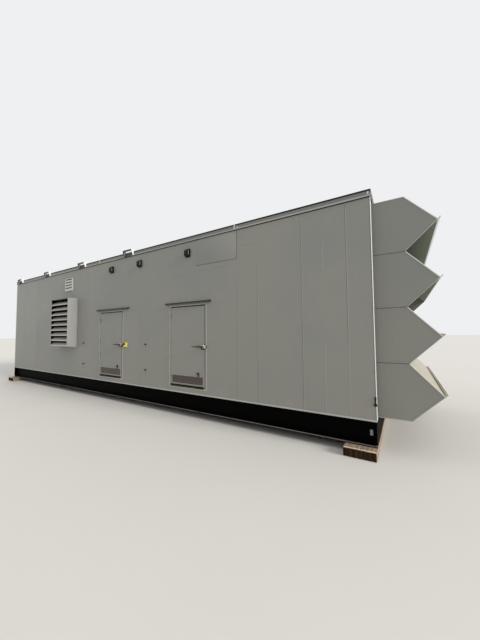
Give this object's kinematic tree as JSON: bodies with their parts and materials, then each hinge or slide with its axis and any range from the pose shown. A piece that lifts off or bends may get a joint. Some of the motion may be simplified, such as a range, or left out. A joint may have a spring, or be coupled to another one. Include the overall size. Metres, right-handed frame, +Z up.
{
  "type": "walk-in diesel generator housing on a skid",
  "caption": "Long grey walk-in diesel generator housing on a black skid, with louvred intakes, hinged side doors and stacked chevron air discharge hoods.",
  "frame": {"origin": "on the ground under the middle of the whole part, hoods included", "axes": "+X along the housing towards the discharge hoods, +Z up; the side with the two opening doors faces -Y"},
  "size_m": [14.0826, 4.65, 4.055],
  "materials": {
    "housing_paint": "warm mid-grey semi-gloss paint",
    "base_paint": "black gloss paint",
    "floor_plate": "grey floor paint",
    "timber": "rough sawn, weathered",
    "stainless": "brushed",
    "hardware": "dark, satin",
    "lamp_black": "black powder coat",
    "pad_metal": "bare"
  },
  "bodies": {
    "housing": {"back_door_fittings": "stainless", "back_door_frames": "housing_paint", "back_door_hinges": "hardware", "back_door_leaves": "housing_paint", "back_door_levers": "hardware", "back_wall_headers": "housing_paint", "back_wall_panels": "housing_paint", "back_wall_sills": "housing_paint", "cross_beams": "base_paint", "door_1_frame": "housing_paint", "door_2_frame": "housing_paint", "door_catches": "hardware", "door_keepers": "hardware", "drip_caps": "housing_paint", "end_beams": "base_paint", "floor": "floor_plate", "foot_trim": "housing_paint", "front_wall_headers": "housing_paint", "front_wall_panels": "housing_paint", "front_wall_sills": "housing_paint", "ground_pads": "pad_metal", "hood_back_cheeks": "housing_paint", "hood_end_posts": "housing_paint", "hood_end_rails": "housing_paint", "hood_front_cheeks": "housing_paint", "hood_pans": "housing_paint", "hood_slopes": "housing_paint", "intake_blades": "housing_paint", "intake_cases": "housing_paint", "lamps": "lamp_black", "lifting_brackets": "housing_paint", "plain_end_wall": "housing_paint", "roof_fascia": "housing_paint", "roof_panel": "housing_paint", "side_beams": "base_paint", "timbers": "timber", "vents": "housing_paint"},
    "door_1": {"door_1_leaf": "housing_paint", "door_1_hinges": "hardware", "door_1_fittings": "stainless"},
    "lever_1": {"door_1_lever": "hardware"},
    "door_2": {"door_2_leaf": "housing_paint", "door_2_hinges": "hardware", "door_2_fittings": "stainless"},
    "lever_2": {"door_2_lever": "hardware"}
  },
  "joints": [
    {"name": "door_1_swing", "type": "hinge", "parent": "housing", "child": "door_1", "pos_m": [-0.93928, -2.0513, 1.541], "axis": [0, 0, -1], "range_deg": [0, 170]},
    {"name": "lever_1_turn", "type": "hinge", "parent": "door_1", "child": "lever_1", "pos_m": [0.03372, -2.093, 1.541], "axis": [0, -1, 0], "range_deg": [0, 45], "stiffness_Nm_per_rad": 6, "springref_deg": -28.65},
    {"name": "door_2_swing", "type": "hinge", "parent": "housing", "child": "door_2", "pos_m": [1.92572, -2.0513, 1.541], "axis": [0, 0, -1], "range_deg": [0, 170]},
    {"name": "lever_2_turn", "type": "hinge", "parent": "door_2", "child": "lever_2", "pos_m": [2.89872, -2.093, 1.541], "axis": [0, -1, 0], "range_deg": [0, 45], "stiffness_Nm_per_rad": 6, "springref_deg": -28.65}
  ]
}
